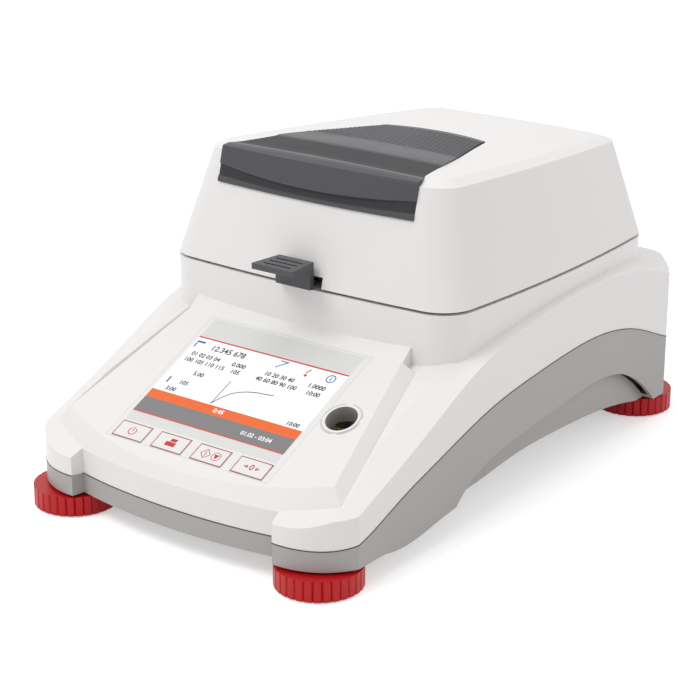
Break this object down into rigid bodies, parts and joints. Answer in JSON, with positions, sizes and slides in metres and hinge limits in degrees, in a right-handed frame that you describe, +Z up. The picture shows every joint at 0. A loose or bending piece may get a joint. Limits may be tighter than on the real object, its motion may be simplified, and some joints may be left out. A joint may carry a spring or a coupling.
{
  "type": "moisture analyzer",
  "caption": "Bench moisture analyzer with a hinged heating lid over a weighing chamber, a sloping display panel with keys and levelling feet.",
  "frame": {"origin": "centre of the footprint, on the table", "axes": "+Z up, -Y towards the display and the operator, +X to the operator's right"},
  "size_m": [0.21, 0.3508, 0.1792],
  "materials": {
    "white_abs": "fine satin moulded white plastic",
    "grey_abs": "satin warm grey moulded plastic",
    "red_plastic": "knurled red plastic",
    "dark_plastic": "matt dark grey heat-resistant plastic",
    "overlay_film": "printed polyester film",
    "display_glass": "clear touch glass",
    "display_module": "liquid crystal module",
    "key_cap": "printed film key",
    "circuit_board": "solder-masked board",
    "stainless": "brushed stainless sheet",
    "aluminium": "machined or pressed aluminium",
    "polished": "bright reflector sheet",
    "quartz": "quartz glass",
    "brass": "turned brass",
    "steel": "zinc-plated steel",
    "rubber": "moulded rubber",
    "black_plastic": "black moulded plastic",
    "level_fluid": "level vial with tinted fluid"
  },
  "bodies": {
    "base": {"bottom_housing": "grey_abs", "level_well": "grey_abs", "top_housing": "white_abs", "housing_screws": "steel", "hinge_brackets": "steel", "hinge_pins": "steel", "serial_port": "steel", "usb_port": "steel", "panel_overlay": "overlay_film", "display_glass": "display_glass", "display_module": "display_module", "key_board": "circuit_board", "main_board": "circuit_board", "power_supply": "circuit_board", "level_vial": "level_fluid", "chamber_dish": "stainless", "draft_shield": "stainless", "pan_handler": "stainless", "pan_handler_grip": "dark_plastic", "weigh_cell": "aluminium", "mains_inlet": "black_plastic", "fuse_drawer": "black_plastic", "switch_frame": "black_plastic", "foot_bush_fl": "brass", "foot_bush_fr": "brass", "foot_bush_rl": "brass", "foot_bush_rr": "brass"},
    "lid": {"lid_shell": "white_abs", "lid_grip": "dark_plastic", "lid_liner": "dark_plastic", "glass_ring": "stainless", "protective_glass": "quartz", "reflector": "polished", "halogen_lamp": "quartz", "temperature_sensor": "steel", "lid_hinge_arms": "steel"},
    "weighing": {"weigh_spindle": "aluminium", "pan_support": "stainless", "sample_pan": "aluminium"},
    "rocker": {"power_switch": "black_plastic"},
    "key_power": {"key_power": "key_cap"},
    "key_print": {"key_print": "key_cap"},
    "key_start": {"key_start": "key_cap"},
    "key_tare": {"key_tare": "key_cap"},
    "foot_fl": {"foot_pad_fl": "rubber"},
    "wheel_fl": {"foot_wheel_fl": "red_plastic"},
    "foot_fr": {"foot_pad_fr": "rubber"},
    "wheel_fr": {"foot_wheel_fr": "red_plastic"},
    "foot_rl": {"foot_pad_rl": "rubber"},
    "wheel_rl": {"foot_wheel_rl": "red_plastic"},
    "foot_rr": {"foot_pad_rr": "rubber"},
    "wheel_rr": {"foot_wheel_rr": "red_plastic"}
  },
  "joints": [
    {"name": "lid_hinge", "type": "hinge", "parent": "base", "child": "lid", "pos_m": [0, 0.136, 0.123], "axis": [-1, 0, 0], "range_deg": [0, 78]},
    {"name": "weigh_cell_travel", "type": "slide", "parent": "base", "child": "weighing", "axis": [0, 0, -1], "range_m": [0, 0.0003], "stiffness_N_per_m": 20000},
    {"name": "power_rocker", "type": "hinge", "parent": "base", "child": "rocker", "pos_m": [-0.011, 0.1675, 0.0675], "axis": [1, 0, 0], "range_deg": [0, 16]},
    {"name": "key_power_press", "type": "slide", "parent": "base", "child": "key_power", "axis": [0, 0.4289, -0.9033], "range_m": [0, 0.0004], "stiffness_N_per_m": 900},
    {"name": "key_print_press", "type": "slide", "parent": "base", "child": "key_print", "axis": [0, 0.4289, -0.9033], "range_m": [0, 0.0004], "stiffness_N_per_m": 900},
    {"name": "key_start_press", "type": "slide", "parent": "base", "child": "key_start", "axis": [0, 0.4289, -0.9033], "range_m": [0, 0.0004], "stiffness_N_per_m": 900},
    {"name": "key_tare_press", "type": "slide", "parent": "base", "child": "key_tare", "axis": [0, 0.4289, -0.9033], "range_m": [0, 0.0004], "stiffness_N_per_m": 900},
    {"name": "foot_fl_travel", "type": "slide", "parent": "base", "child": "foot_fl", "axis": [0, 0, -1], "range_m": [0, 0.005]},
    {"name": "foot_fl_turn", "type": "hinge", "parent": "foot_fl", "child": "wheel_fl", "pos_m": [-0.0824, -0.1527, 0.006], "axis": [0, 0, 1], "range_deg": [0, 1440]},
    {"name": "foot_fr_travel", "type": "slide", "parent": "base", "child": "foot_fr", "axis": [0, 0, -1], "range_m": [0, 0.005]},
    {"name": "foot_fr_turn", "type": "hinge", "parent": "foot_fr", "child": "wheel_fr", "pos_m": [0.0824, -0.1527, 0.006], "axis": [0, 0, 1], "range_deg": [0, 1440]},
    {"name": "foot_rl_travel", "type": "slide", "parent": "base", "child": "foot_rl", "axis": [0, 0, -1], "range_m": [0, 0.005]},
    {"name": "foot_rl_turn", "type": "hinge", "parent": "foot_rl", "child": "wheel_rl", "pos_m": [-0.0824, 0.1527, 0.006], "axis": [0, 0, 1], "range_deg": [0, 1440]},
    {"name": "foot_rr_travel", "type": "slide", "parent": "base", "child": "foot_rr", "axis": [0, 0, -1], "range_m": [0, 0.005]},
    {"name": "foot_rr_turn", "type": "hinge", "parent": "foot_rr", "child": "wheel_rr", "pos_m": [0.0824, 0.1527, 0.006], "axis": [0, 0, 1], "range_deg": [0, 1440]}
  ],
  "couplings": [
    {"joint": "foot_fl_turn", "follows": "foot_fl_travel", "rad_per_m": 5026.5},
    {"joint": "foot_fr_turn", "follows": "foot_fr_travel", "rad_per_m": 5026.5},
    {"joint": "foot_rl_turn", "follows": "foot_rl_travel", "rad_per_m": 5026.5},
    {"joint": "foot_rr_turn", "follows": "foot_rr_travel", "rad_per_m": 5026.5}
  ]
}
